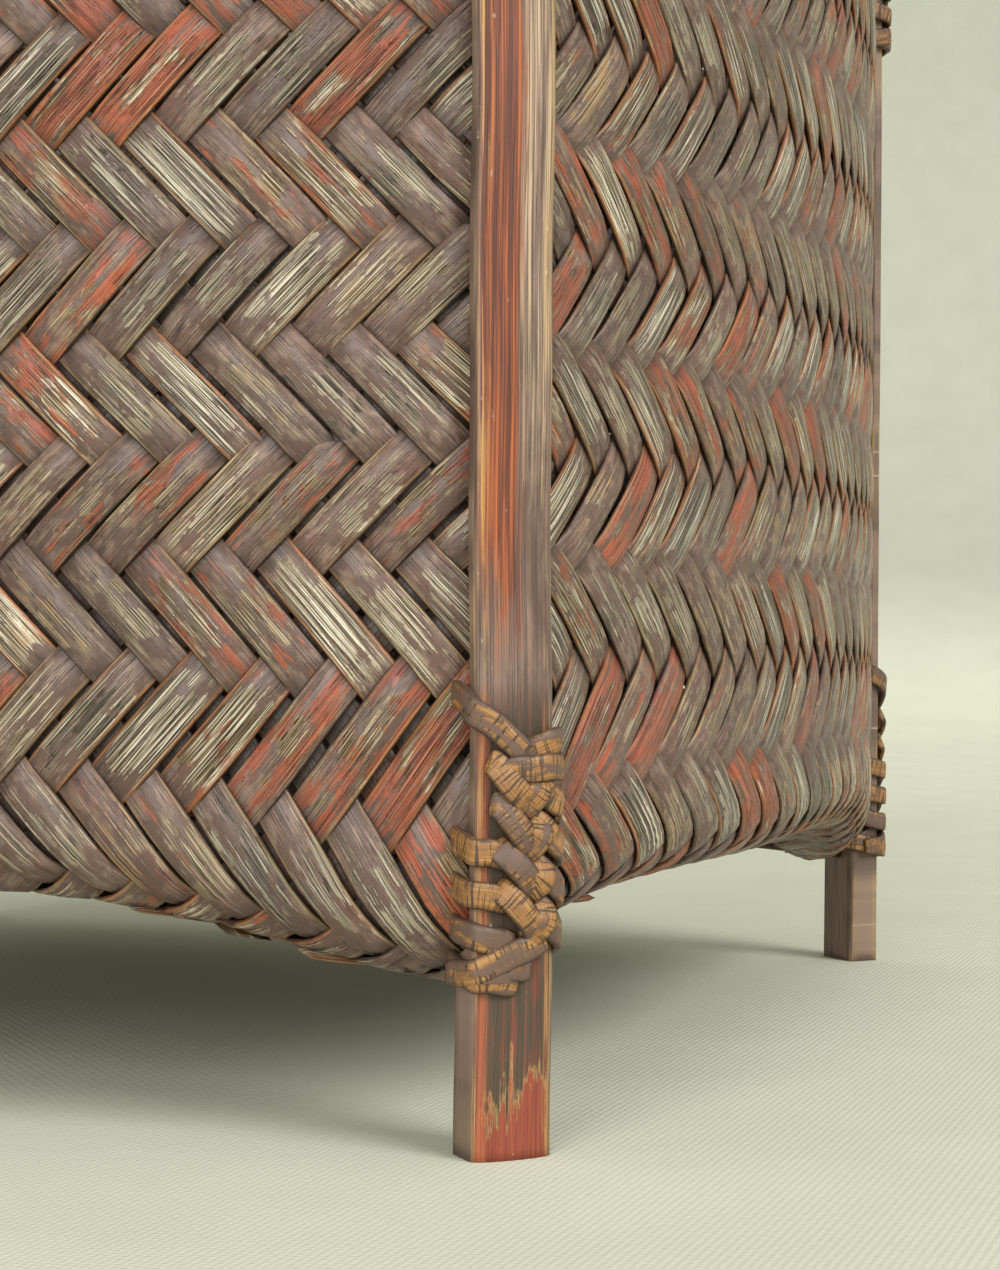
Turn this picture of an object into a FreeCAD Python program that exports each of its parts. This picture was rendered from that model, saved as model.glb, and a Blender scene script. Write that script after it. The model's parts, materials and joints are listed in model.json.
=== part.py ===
"""A square lacquered bamboo basket standing on four corner legs.

The frame is millimetres with +Z up. The origin is on the floor under the middle of the basket,
the sides face +X, -X, +Y and -Y, and the legs stand on the diagonals.
"""
import FreeCAD, Part
import Sketcher
import os

CORNERS = {"front_right": -45, "back_right": 45, "back_left": 135, "front_left": 225}

# Driving sizes: the name, the value in millimetres (or a plain count), and what it measures.
SIZES = [
    ("leg_span", 214, "distance between neighbouring corners of the wall at the base"),
    ("side_bulge", 16, "how far the middle of a side stands out past its two corners"),
    ("foot_clear", 25, "height of the corners of the base above the floor"),
    ("body_height", 207, "base corner to the top of the woven wall"),
    ("wall_flare", 1.5, "how far a side leans out over the height of the wall"),
    ("corner_round", 16, "radius of the upright corners of the wall"),
    ("base_round", 9, "radius where the wall turns under into the base"),
    ("base_arch", 8, "how far the base is raised above its corners, which droop"),
    ("wall_thick", 3, "two crossing layers of bamboo splints"),
    ("floor_thick", 3, "thickness of the woven base"),
    ("leg_width", 10.8, "width of a corner leg"),
    ("foot_thick", 7, "thickness of the leg below the basket"),
    ("strip_thick", 2.8, "thickness of the leg where it lies on the wall"),
    ("leg_round", 0.9, "rounding of the long edges of a leg"),
    ("seat_rise", 4, "height of the shoulder cut in the leg above the base corner"),
    ("seat_depth", 0.4, "how deep the corner of the wall sits in the leg"),
    ("cane_width", 3.4, "width of the split cane of the lashings"),
    ("cane_thick", 1.4, "thickness of the split cane of the lashings"),
    ("lash_reach", 5.2, "how far a lashing reaches in behind the face of the wall corner"),
    ("lash_pitch", 5.4, "rise from one turn of a lashing to the next"),
    ("lash_turns", 7, "turns in each lashing"),
    ("foot_lash_drop", 3, "from the corner of the base down to the lowest turn of a foot lashing"),
    ("rim_lash_drop", 45, "from the top of the wall down to the lowest turn of a rim lashing"),
    ("hoop_height", 12, "height of the two rim hoops"),
    ("hoop_thick", 3, "thickness of the two rim hoops"),
    ("leg_gap", 0.3, "gap between the top of a leg and the outer hoop"),
    ("cap_height", 3, "height of the split cane that closes the rim"),
    ("cap_inset", 0.5, "how far the rim cap stays in from the faces of the hoops"),
    ("bind_turns", 14, "turns of rim binding on each side"),
    ("bind_width", 3, "width of the rim binding cane"),
    ("bind_thick", 1, "thickness of the rim binding cane"),
    ("stay_width", 3.6, "width of the cane stays under the base"),
    ("stay_thick", 1.4, "thickness of the cane stays under the base"),
    ("stay_gap", 0.4, "gap between the end of a stay and the lowest turn of the lashing over it"),
]

# Sizes that follow from the driving ones, as formulas on the same sheet.
DERIVED = [
    ("arc_radius", "(leg_span ^ 2 / 4 + side_bulge ^ 2) / (2 * side_bulge)", "plan radius of a side"),
    ("arc_centre", "arc_radius - leg_span / 2 - side_bulge", "from the axis to that arc's centre"),
    ("wall_top", "foot_clear + body_height", "height of the top of the wall"),
    ("foot_lash_low", "foot_clear - foot_lash_drop", "height of the lowest turn of a foot lashing"),
    ("rim_lash_low", "wall_top - rim_lash_drop", "height of the lowest turn of a rim lashing"),
    ("stay_foot", "foot_lash_low - stay_thick - stay_gap", "height of a stay behind a foot, under the lowest turn"),
    ("side_turn", "asin(leg_span / 2 / arc_radius) / 1 deg", "half the turn of a side, in degrees"),
    ("corner_inset", "corner_round * (1 / cos((45 - side_turn) * 1 deg) - 1)", "cut off by the rounding"),
    ("corner_low", "leg_span / 2 * sqrt(2) - corner_inset", "axis to the wall corner, at the base"),
    ("arc_top", "arc_radius + wall_flare", "plan radius of a side at the top"),
    ("corner_high", "(sqrt(2 * arc_top ^ 2 - arc_centre ^ 2) - arc_centre) / sqrt(2) - corner_inset",
     "axis to the wall corner, at the top"),
    ("corner_pin", "(sqrt(2 * (arc_radius - corner_round) ^ 2 - arc_centre ^ 2) - arc_centre) / 2",
     "from the axis to the centre of a corner's rounding, along X and along Y"),
    ("arc_end", "atan(corner_pin / (corner_pin + arc_centre)) / 1 deg",
     "half the turn of a side up to where its rounded corner begins, in degrees"),
    ("bind_spread", "2 * (arc_end - bind_width / arc_radius * 180 / pi)",
     "turn from the first to the last rim binding of a side, clear of the corners, in degrees"),
    ("lean", "atan((corner_high - corner_low) / body_height) / 1 deg", "lean of the corners, degrees"),
    ("hoop_low", "wall_top - hoop_height", "height of the lower edge of the hoops"),
    ("base_mid", "foot_clear + base_arch", "height of the underside in the middle of the base"),
]

doc = FreeCAD.newDocument("bamboo_basket")
sheet = doc.addObject("Spreadsheet::Sheet", "sizes")


def fill_sheet():
    """Write the driving sizes as plain numbers and the derived ones as formulas, each with an alias."""
    for row, (alias, value, note) in enumerate(SIZES + DERIVED, start=1):
        sheet.set(f"A{row}", note)
        sheet.set(f"B{row}", str(value) if not isinstance(value, str) else "=" + value)
        sheet.setAlias(f"B{row}", alias)
    doc.recompute()


def size(alias):
    """The number that a cell of the sheet holds."""
    return float(getattr(sheet, alias))


def bind(thing, **formulas):
    """Tie properties of a document object to formulas on the sheet."""
    for name, formula in formulas.items():
        thing.setExpression(name.replace("__", "."), formula)
    return thing


def radius_at(height, offset):
    """Formula for the plan radius of a side at a height, moved out by an offset."""
    rise = f"({height} - sizes.foot_clear) / sizes.body_height"
    return f"sizes.arc_radius + sizes.wall_flare * {rise} + ({offset})"


def edges_where(shape, test):
    """Numbers of the edges of a shape whose points all pass a test."""
    found = []
    for number, edge in enumerate(shape.Edges, start=1):
        middle = edge.valueAt((edge.FirstParameter + edge.LastParameter) / 2)
        points = [vertex.Point for vertex in edge.Vertexes] + [middle]
        if all(test(point) for point in points):
            found.append(number)
    return found


def rounded(name, base, radius, test):
    """A Part::Fillet of one radius on the edges of an object that pass a test."""
    doc.recompute()
    fillet = doc.addObject("Part::Fillet", name)
    fillet.Base = base
    fillet.Edges = [(number, radius, radius) for number in edges_where(base.Shape, test)]
    return fillet


def basket_plan(name, low, high, offset="0"):
    """A solid with the basket's plan: four leaning arcs and four rounded upright corners.

    low and high are formulas for its two heights, and offset one for how far it stands out.
    """
    cones = []
    for side, (along_x, along_y) in enumerate([(1, 0), (0, 1), (-1, 0), (0, -1)]):
        cone = doc.addObject("Part::Cone", f"{name}_side_{side}")
        bind(cone, Radius1=radius_at(low, offset), Radius2=radius_at(high, offset),
             Height=f"{high} - ({low})", Placement__Base__z=low,
             Placement__Base__x=f"{-along_x} * sizes.arc_centre",
             Placement__Base__y=f"{-along_y} * sizes.arc_centre")
        cones.append(cone)
    common = doc.addObject("Part::MultiCommon", f"{name}_plan")
    common.Shapes = cones
    return rounded(f"{name}_corners", common, size("corner_round") + number_of(offset),
                   lambda point: abs(abs(point.x) - abs(point.y)) < 0.01)


def number_of(formula):
    """The value of a formula that is written with sheet aliases."""
    return float(sheet.evalExpression(formula))


def cut(name, base, *tools):
    """An object less one or more others."""
    for step, tool in enumerate(tools):
        last = step == len(tools) - 1
        result = doc.addObject("Part::Cut", name if last else f"{name}_cut_{step}")
        result.Base, result.Tool = base, tool
        base = result
    return base


def woven_body():
    """The outer form of the basket, and the same form hollowed out from the top."""
    outer = basket_plan("tub", "sizes.foot_clear", "sizes.wall_top")
    low = size("foot_clear")
    skin = rounded("tub_skin", outer, size("base_round"), lambda point: abs(point.z - low) < 0.01)
    floor_level = "sizes.base_mid + sizes.floor_thick"
    hollow = basket_plan("hollow", floor_level, "sizes.wall_top + sizes.cap_height", "-sizes.wall_thick")
    inner = size("base_mid") + size("floor_thick")
    bowl = rounded("hollow_round", hollow, size("base_round") - size("wall_thick"),
                   lambda point: abs(point.z - inner) < 0.01)
    arch = doc.addObject("Part::Cone", "base_arch_cutter")
    bind(arch, Radius1="sizes.corner_low - 4 * sizes.base_round / 5",
         Radius2="sizes.leg_span / 2 + sizes.side_bulge",
         Height="sizes.base_arch", Placement__Base__z="sizes.foot_clear")
    return skin, cut("woven_body", skin, bowl, arch)


def hoops_and_cap():
    """The two bamboo hoops that clamp the top of the wall, and the split cane that lies over them."""
    low, high = "sizes.hoop_low", "sizes.wall_top"
    outside = basket_plan("hoop_outside", low, high, "sizes.hoop_thick")
    wall_face = basket_plan("hoop_wall_face", low, high)
    wall_back = basket_plan("hoop_wall_back", low, high, "-sizes.wall_thick")
    inside = basket_plan("hoop_inside", low, high, "-sizes.wall_thick - sizes.hoop_thick")
    outer_hoop = cut("rim_outer_hoop", outside, wall_face)
    inner_hoop = cut("rim_inner_hoop", wall_back, inside)
    top = "sizes.wall_top + sizes.cap_height"
    cap_outside = basket_plan("cap_outside", high, top, "sizes.hoop_thick - sizes.cap_inset")
    cap_inside = basket_plan("cap_inside", high, top,
                             "-sizes.wall_thick - sizes.hoop_thick + sizes.cap_inset")
    ring = cut("cap_ring", cap_outside, cap_inside)
    crest = size("wall_top") + size("cap_height")
    cap = rounded("rim_cap", ring, size("cap_height") / 2, lambda point: abs(point.z - crest) < 0.01)
    return outer_hoop, inner_hoop, cap


def plane_of(body, role):
    """One of the origin planes of a body."""
    return next(plane for plane in body.Origin.OriginFeatures if plane.Role == role)


def sketch_on(body, name, role):
    """An empty sketch on an origin plane of its body."""
    sketch = body.newObject("Sketcher::SketchObject", name)
    sketch.AttachmentSupport = (plane_of(body, role), "")
    sketch.MapMode = "FlatFace"
    return sketch


def polygon(sketch, points):
    """A closed run of lines whose corners are tied to formulas, as (x, y) pairs."""
    first = sketch.GeometryCount
    count = len(points)
    corners = [FreeCAD.Vector(number_of(x), number_of(y), 0) for x, y in points]
    for index in range(count):
        sketch.addGeometry(Part.LineSegment(corners[index], corners[(index + 1) % count]), False)
    for index in range(count):
        follow = first + (index + 1) % count
        sketch.addConstraint(Sketcher.Constraint("Coincident", first + index, 2, follow, 1))
    for index, (x, y) in enumerate(points):
        for kind, formula, value in (("DistanceX", x, corners[index].x), ("DistanceY", y, corners[index].y)):
            place = sketch.addConstraint(Sketcher.Constraint(kind, -1, 1, first + index, 1, value))
            sketch.setExpression(f"Constraints[{place}]", formula)


def pad(body, sketch, formula, midplane=False):
    """A Pad of a sketch by a length from the sheet."""
    feature = body.newObject("PartDesign::Pad", body.Name + "_pad")
    feature.Profile = sketch
    feature.Length = number_of(formula)
    feature.setExpression("Length", formula)
    feature.Midplane = midplane
    doc.recompute()
    return feature


def body_fillet(body, base, radius, test):
    """A PartDesign::Fillet of the edges of a feature that pass a test."""
    feature = body.newObject("PartDesign::Fillet", body.Name + "_fillet")
    feature.Base = (base, [f"Edge{number}" for number in edges_where(base.Shape, test)])
    feature.Radius = size(radius)
    feature.setExpression("Radius", "sizes." + radius)
    doc.recompute()
    return feature


def corner_place(azimuth):
    """The frame of a wall corner: origin on its face at the base, X outwards, Z up along its lean."""
    turn = FreeCAD.Rotation(FreeCAD.Vector(0, 0, 1), azimuth)
    lean = FreeCAD.Rotation(FreeCAD.Vector(0, 1, 0), size("lean"))
    foot = FreeCAD.Vector(size("corner_low"), 0, size("foot_clear"))
    return FreeCAD.Placement(turn.multVec(foot), turn.multiply(lean))


def leg(name, azimuth, skin, floor_block):
    """A corner leg: a thick foot, a shoulder under the base corner, and a thin strip up the wall."""
    body = doc.addObject("PartDesign::Body", name + "_blank")
    sketch = sketch_on(body, name + "_profile", "XZ_Plane")
    front, back = "sizes.strip_thick", "sizes.strip_thick - sizes.foot_thick"
    low = "-sizes.foot_clear - sizes.seat_rise"
    top = "sizes.hoop_low - sizes.foot_clear - sizes.leg_gap"
    polygon(sketch, [(front, low), (front, top), ("-sizes.seat_depth", top),
                     ("-sizes.seat_depth", "sizes.seat_rise"), (back, "sizes.seat_rise"), (back, low)])
    blank = pad(body, sketch, "sizes.leg_width", midplane=True)
    edge = size("leg_width") / 2
    body_fillet(body, blank, "leg_round",
                lambda point: abs(abs(point.y) - edge) < 0.01
                and (abs(point.x - size("strip_thick")) < 0.01
                     or abs(point.x - size("strip_thick") + size("foot_thick")) < 0.01))
    body.Placement = corner_place(azimuth)
    return cut(name, body, skin, floor_block)


def lashing(name, azimuth, height):
    """Turns of split cane round a leg and through the wall, one above the other."""
    body = doc.addObject("PartDesign::Body", name)
    sketch = sketch_on(body, name + "_turn", "XY_Plane")
    thick, half = "sizes.cane_thick", "sizes.leg_width / 2"
    reach = "sizes.lash_reach"
    for grow in (thick, "0"):
        front, back = f"sizes.strip_thick + {grow}", f"-{reach} - {grow}"
        polygon(sketch, [(front, f"-{half} - {grow}"), (front, f"{half} + {grow}"),
                         (back, f"{half} + {grow}"), (back, f"-{half} - {grow}")])
    turn = pad(body, sketch, "sizes.cane_width")
    limit = size("leg_width") / 2 + size("cane_thick")
    body_fillet(body, turn, "leg_round", lambda point: abs(abs(point.y) - limit) < 0.01
                and (abs(point.x - size("strip_thick") - size("cane_thick")) < 0.01
                     or abs(point.x + size("lash_reach") + size("cane_thick")) < 0.01))
    repeat = body.newObject("PartDesign::LinearPattern", name + "_turns")
    repeat.Originals = [turn, body.Tip]
    axis = next(line for line in body.Origin.OriginFeatures if line.Role == "Z_Axis")
    repeat.Direction = (axis, [""])
    repeat.setExpression("Length", "sizes.lash_pitch * (sizes.lash_turns - 1)")
    repeat.setExpression("Occurrences", "sizes.lash_turns")
    body.Tip = repeat
    lift = FreeCAD.Placement(FreeCAD.Vector(0, 0, size(height) - size("foot_clear")), FreeCAD.Rotation())
    body.Placement = corner_place(azimuth).multiply(lift)
    return body


def binding(rim):
    """Turns of thin cane round the two hoops and the cap, spaced evenly along each side."""
    sides = []
    for side in range(4):
        body = doc.addObject("PartDesign::Body", f"binding_side_{side}")
        sketch = sketch_on(body, f"binding_turn_{side}", "XZ_Plane")
        wall_out = radius_at("sizes.wall_top", "sizes.hoop_thick")
        wall_in = radius_at("sizes.hoop_low", "-sizes.wall_thick - sizes.hoop_thick")
        top = "sizes.wall_top + sizes.cap_height"
        for grow in ("sizes.bind_thick", "0"):
            polygon(sketch, [(f"{wall_in} - {grow}", f"sizes.hoop_low - {grow}"),
                             (f"{wall_out} + {grow}", f"sizes.hoop_low - {grow}"),
                             (f"{wall_out} + {grow}", f"{top} + {grow}"),
                             (f"{wall_in} - {grow}", f"{top} + {grow}")])
        turn = pad(body, sketch, "sizes.bind_width", midplane=True)
        repeat = body.newObject("PartDesign::PolarPattern", f"binding_turns_{side}")
        repeat.Originals = [turn]
        axis = next(line for line in body.Origin.OriginFeatures if line.Role == "Z_Axis")
        repeat.Axis = (axis, [""])
        repeat.setExpression("Angle", "sizes.bind_spread")
        repeat.setExpression("Occurrences", "sizes.bind_turns")
        body.Tip = repeat
        first = 90 * side - size("bind_spread") / 2
        turned = FreeCAD.Rotation(FreeCAD.Vector(0, 0, 1), first)
        heading = FreeCAD.Rotation(FreeCAD.Vector(0, 0, 1), 90 * side)
        centre = heading.multVec(FreeCAD.Vector(-size("arc_centre"), 0, 0))
        body.Placement = FreeCAD.Placement(centre, turned)
        sides.append(body)
    turns = doc.addObject("Part::Compound", "binding_turns")
    turns.Links = sides
    return cut("rim_binding", turns, *rim)


def stay(name, azimuth, level):
    """A cane stay on a diagonal: a bowed strip that rises from the back of one foot to the base.

    level is a formula for the height of its top in the middle of the base.
    """
    reach = "(sizes.corner_low - sizes.foot_thick + sizes.strip_thick)"
    rise = f"({level} - sizes.stay_foot - sizes.stay_thick)"
    bow = f"(({reach} ^ 2 + {rise} ^ 2) / (2 * {rise}))"
    window = doc.addObject("Part::Box", f"{name}_window")
    bind(window, Length=f"2 * {reach}", Width="sizes.stay_width", Height=f"{level} - sizes.stay_foot + 2",
         Placement__Base__x=f"-{reach}", Placement__Base__y="-sizes.stay_width / 2",
         Placement__Base__z="sizes.stay_foot - 2")
    drums = []
    for part, less in (("over", "0"), ("under", "sizes.stay_thick")):
        drum = doc.addObject("Part::Cylinder", f"{name}_{part}")
        drum.Placement.Rotation = FreeCAD.Rotation(FreeCAD.Vector(1, 0, 0), 90)
        bind(drum, Radius=f"{bow} - {less}", Height="sizes.stay_width + 2",
             Placement__Base__z=f"{level} - {bow}", Placement__Base__y="sizes.stay_width / 2 + 1")
        drums.append(drum)
    bowed = doc.addObject("Part::Common", f"{name}_bow")
    bowed.Base, bowed.Tool = window, drums[0]
    whole = cut(name, bowed, drums[1])
    whole.Placement = FreeCAD.Placement(FreeCAD.Vector(), FreeCAD.Rotation(FreeCAD.Vector(0, 0, 1), azimuth))
    return whole


def floor_slab():
    """A block below the floor, which trims the feet level."""
    slab = doc.addObject("Part::Box", "floor_block")
    bind(slab, Length="4 * sizes.leg_span", Width="4 * sizes.leg_span", Height="2 * sizes.foot_clear",
         Placement__Base__x="-2 * sizes.leg_span", Placement__Base__y="-2 * sizes.leg_span",
         Placement__Base__z="-2 * sizes.foot_clear")
    return slab


def build():
    """Make every piece of the basket, and return them in the order they are put together."""
    fill_sheet()
    skin, basket = woven_body()
    hoops = hoops_and_cap()
    block = floor_slab()
    pieces = [basket, *hoops, binding(hoops)]
    for corner, azimuth in CORNERS.items():
        pieces.append(leg(f"leg_{corner}", azimuth, skin, block))
        pieces.append(lashing(f"foot_lashing_{corner}", azimuth, "foot_lash_low"))
        pieces.append(lashing(f"rim_lashing_{corner}", azimuth, "rim_lash_low"))
    pieces.append(stay("base_stay_upper", 45, "sizes.base_mid"))
    pieces.append(stay("base_stay_lower", 135, "(sizes.base_mid - sizes.stay_thick)"))
    doc.recompute()
    return pieces


def check(pieces):
    """Stop if any object of the document failed, or any piece has no sound solid."""
    for thing in doc.Objects:
        if "Invalid" in thing.State or "Error" in thing.State:
            raise RuntimeError(f"{thing.Name} did not build: {thing.State}")
    for piece in pieces:
        shape = piece.Shape
        if shape.isNull() or not shape.isValid() or not shape.Solids:
            raise RuntimeError(f"{piece.Label} has no valid solid")
        print(f"{piece.Label}: {len(shape.Solids)} solid(s), {shape.Volume:.0f} cubic mm")


parts = build()
check(parts)
os.makedirs("parts", exist_ok=True)
for part in parts:
    part.Shape.exportStep(f"parts/{part.Label}.step")
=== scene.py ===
"""A worn, lacquered bamboo basket on four corner legs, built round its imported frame.

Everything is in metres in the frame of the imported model: +Z up, the origin on the floor under the
middle of the basket, the sides square to X and Y and the legs on the diagonals.
"""
import json
import logging
import math
import random
from dataclasses import dataclass, field
from enum import Enum
from typing import Any, Callable, Sequence

import bmesh
import bpy
from mathutils import Matrix, Vector

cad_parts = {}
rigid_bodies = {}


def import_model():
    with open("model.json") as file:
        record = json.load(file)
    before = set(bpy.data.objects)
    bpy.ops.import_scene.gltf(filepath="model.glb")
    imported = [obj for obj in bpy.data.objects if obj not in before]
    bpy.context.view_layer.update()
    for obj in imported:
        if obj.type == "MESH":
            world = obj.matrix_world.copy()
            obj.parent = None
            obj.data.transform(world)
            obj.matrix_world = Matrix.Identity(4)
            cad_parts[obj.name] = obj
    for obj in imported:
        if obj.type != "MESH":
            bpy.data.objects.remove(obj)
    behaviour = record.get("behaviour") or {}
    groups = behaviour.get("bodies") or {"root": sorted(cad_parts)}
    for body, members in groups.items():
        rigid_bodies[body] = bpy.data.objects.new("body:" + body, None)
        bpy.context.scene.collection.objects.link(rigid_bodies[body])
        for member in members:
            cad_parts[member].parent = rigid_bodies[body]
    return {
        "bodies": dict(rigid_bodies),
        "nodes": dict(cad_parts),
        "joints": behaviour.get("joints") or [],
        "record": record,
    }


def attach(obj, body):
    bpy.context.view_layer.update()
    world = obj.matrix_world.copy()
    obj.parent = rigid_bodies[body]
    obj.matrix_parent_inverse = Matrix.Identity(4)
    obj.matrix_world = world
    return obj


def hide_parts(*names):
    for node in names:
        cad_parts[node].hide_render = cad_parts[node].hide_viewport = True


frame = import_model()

MM = 0.001
BODY = next(iter(frame["bodies"]))
log = logging.getLogger("basket")
Point = tuple[float, float, float]
Swept = tuple[list[Vector], list[tuple[int, ...]], dict[str, list[float]]]


# ---------------------------------------------------------------- node trees

class Value:
    """A socket of a node tree that can be used in Python arithmetic."""

    def __init__(self, tree: "Tree", socket: bpy.types.NodeSocket) -> None:
        """Keep the tree that new Math nodes go to, and the socket."""
        self.tree, self.socket = tree, socket

    def math(self, operation: str, *others: Any) -> "Value":
        """Add a Math node on this value.

        Args:
            operation: the node's operation.
            others: its second and third operands, as numbers or values.

        Returns:
            The node's result.
        """
        return self.tree.node("ShaderNodeMath", [self, *others], operation=operation)[0]

    def reflected(self, operation: str, other: Any) -> "Value":
        """The same node with the operands the other way round."""
        return self.tree.node("ShaderNodeMath", [other, self], operation=operation)[0]

    def __add__(self, other: Any) -> "Value":
        """Sum."""
        return self.math("ADD", other)

    def __sub__(self, other: Any) -> "Value":
        """Difference."""
        return self.math("SUBTRACT", other)

    def __mul__(self, other: Any) -> "Value":
        """Product."""
        return self.math("MULTIPLY", other)

    def __truediv__(self, other: Any) -> "Value":
        """Quotient."""
        return self.math("DIVIDE", other)

    def __rsub__(self, other: Any) -> "Value":
        """Difference from a number."""
        return self.reflected("SUBTRACT", other)

    def __rtruediv__(self, other: Any) -> "Value":
        """Quotient of a number."""
        return self.reflected("DIVIDE", other)

    __radd__, __rmul__ = __add__, __mul__

    def step(self, low: float, high: float, kind: str = "SMOOTHSTEP") -> "Value":
        """0 below low, 1 above high and a smooth rise between."""
        return self.tree.node("ShaderNodeMapRange", [self, low, high, 0.0, 1.0],
                              interpolation_type=kind)[0]

    def clamp(self) -> "Value":
        """The value held between 0 and 1."""
        return self.tree.node("ShaderNodeClamp", [self, 0.0, 1.0])[0]

    def lowest(self, other: Any) -> "Value":
        """The smaller of two values."""
        return self.math("MINIMUM", other)

    def highest(self, other: Any) -> "Value":
        """The larger of two values."""
        return self.math("MAXIMUM", other)


class Tree:
    """A node tree that is filled in by calls."""

    def __init__(self, tree: bpy.types.NodeTree) -> None:
        """Keep the tree."""
        self.tree = tree

    def node(self, kind: str, inputs: Any = (), **settings: Any) -> list[Value]:
        """Add a node, set it up, then set or link its inputs.

        Args:
            kind: the node's type.
            inputs: a list for its first enabled sockets, or a dict of socket names to values.
            settings: its properties.

        Returns:
            Its enabled outputs as values.
        """
        made = self.tree.nodes.new(kind)
        for name, value in settings.items():
            setattr(made, name, value)
        enabled = [socket for socket in made.inputs if socket.enabled]
        pairs = inputs.items() if isinstance(inputs, dict) else enumerate(inputs)
        for key, value in pairs:
            if value is None:
                continue
            socket = (enabled[key] if isinstance(key, int)
                      else next(one for one in enabled if one.name == key))
            if isinstance(value, Value):
                self.tree.links.new(value.socket, socket)
            else:
                socket.default_value = value
        return [Value(self, socket) for socket in made.outputs if socket.enabled]

    def vector(self, x: Any = 0.0, y: Any = 0.0, z: Any = 0.0) -> Value:
        """Three numbers as one vector."""
        return self.node("ShaderNodeCombineXYZ", [x, y, z])[0]

    def split(self, vector: Value) -> list[Value]:
        """The three numbers of a vector."""
        return self.node("ShaderNodeSeparateXYZ", [vector])

    def vectors(self, operation: str, *operands: Any) -> Value:
        """A Vector Math node's result."""
        return self.node("ShaderNodeVectorMath", list(operands), operation=operation)[0]

    def scaled(self, vector: Value, amount: Value) -> Value:
        """A vector made longer or shorter."""
        return self.node("ShaderNodeVectorMath", {"Vector": vector, "Scale": amount},
                         operation="SCALE")[0]

    def noise(self, at: Value, scale: float, detail: float = 2.0, rough: float = 0.5) -> Value:
        """Fractal noise between 0 and 1."""
        return self.node("ShaderNodeTexNoise",
                         {"Vector": at, "Scale": scale, "Detail": detail, "Roughness": rough})[0]

    def chance(self, at: Value) -> Value:
        """A random number for each different vector."""
        return self.node("ShaderNodeTexWhiteNoise", {"Vector": at}, noise_dimensions="3D")[0]


class Recipe:
    """A Geometry Nodes tree with named inputs, and the plain mesh that it grows into."""

    def __init__(self, name: str, kinds: dict[str, str]) -> None:
        """Start the tree.

        Args:
            name: the tree's name.
            kinds: its inputs, by name, and what each one holds.
        """
        self.group = bpy.data.node_groups.new(name, "GeometryNodeTree")
        face = self.group.interface
        face.new_socket("Geometry", in_out="OUTPUT", socket_type="NodeSocketGeometry")
        for label, kind in kinds.items():
            face.new_socket(label, in_out="INPUT", socket_type=f"NodeSocket{kind}")
        self.tree = Tree(self.group)
        enter = self.group.nodes.new("NodeGroupInput")
        self.size = {label: Value(self.tree, enter.outputs[label]) for label in kinds}

    def close(self, shape: Value) -> None:
        """Lead the finished shape out of the tree."""
        leave = self.group.nodes.new("NodeGroupOutput")
        self.group.links.new(shape.socket, leave.inputs[0])

    def grow(self, name: str, given: dict[str, Any]) -> bpy.types.Object:
        """Run the tree and keep what it makes as a plain mesh.

        Args:
            name: the new piece's name.
            given: a value for each input, by name.

        Returns:
            The piece.
        """
        blank = bpy.data.objects.new(name + "_blank", bpy.data.meshes.new(name + "_blank"))
        bpy.context.collection.objects.link(blank)
        modifier = blank.modifiers.new("grow", "NODES")
        modifier.node_group = self.group
        for item in self.group.interface.items_tree:
            if item.item_type == "SOCKET" and item.in_out == "INPUT":
                modifier[item.identifier] = given[item.name]
        seen = blank.evaluated_get(bpy.context.evaluated_depsgraph_get())
        mesh = bpy.data.meshes.new_from_object(seen)
        mesh.name = name
        made = bpy.data.objects.new(name, mesh)
        bpy.context.collection.objects.link(made)
        bpy.data.objects.remove(blank)
        return made


def closed_guide(name: str, points: Sequence[Vector]) -> bpy.types.Object:
    """A closed curve through the points, which copies or splints are laid along."""
    curve = bpy.data.curves.new(name, "CURVE")
    curve.dimensions = "3D"
    spline = curve.splines.new("POLY")
    spline.points.add(len(points) - 1)
    for target, point in zip(spline.points, points):
        target.co = (*point, 1.0)
    spline.use_cyclic_u = True
    made = bpy.data.objects.new(name, curve)
    bpy.context.collection.objects.link(made)
    return made


@dataclass(frozen=True)
class Tone:
    """A colour as it looks, given as three sRGB numbers from 0 to 255."""

    red: int
    green: int
    blue: int

    @property
    def linear(self) -> tuple[float, float, float, float]:
        """The colour for a shader."""
        def straight(part: float) -> float:
            """One part without its screen curve."""
            return part / 12.92 if part <= 0.04045 else ((part + 0.055) / 1.055) ** 2.4
        return (*(straight(part / 255) for part in (self.red, self.green, self.blue)), 1.0)


class Lacquer(Enum):
    """The tones of the lacquer, the bamboo and the cane."""

    MAUVE = Tone(130, 106, 92)
    UMBER = Tone(96, 74, 62)
    DARK = Tone(46, 36, 30)
    CREAM = Tone(232, 222, 196)
    SAGE = Tone(148, 134, 106)
    MOSS = Tone(148, 116, 58)
    STRAW = Tone(196, 160, 96)
    ORANGE = Tone(172, 88, 54)
    RED = Tone(134, 62, 44)
    RUST = Tone(92, 46, 30)
    COPPER = Tone(174, 92, 42)
    LINEN = Tone(206, 178, 144)
    TAN = Tone(170, 122, 64)
    HONEY = Tone(126, 86, 46)
    OLIVE = Tone(74, 60, 44)


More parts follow.
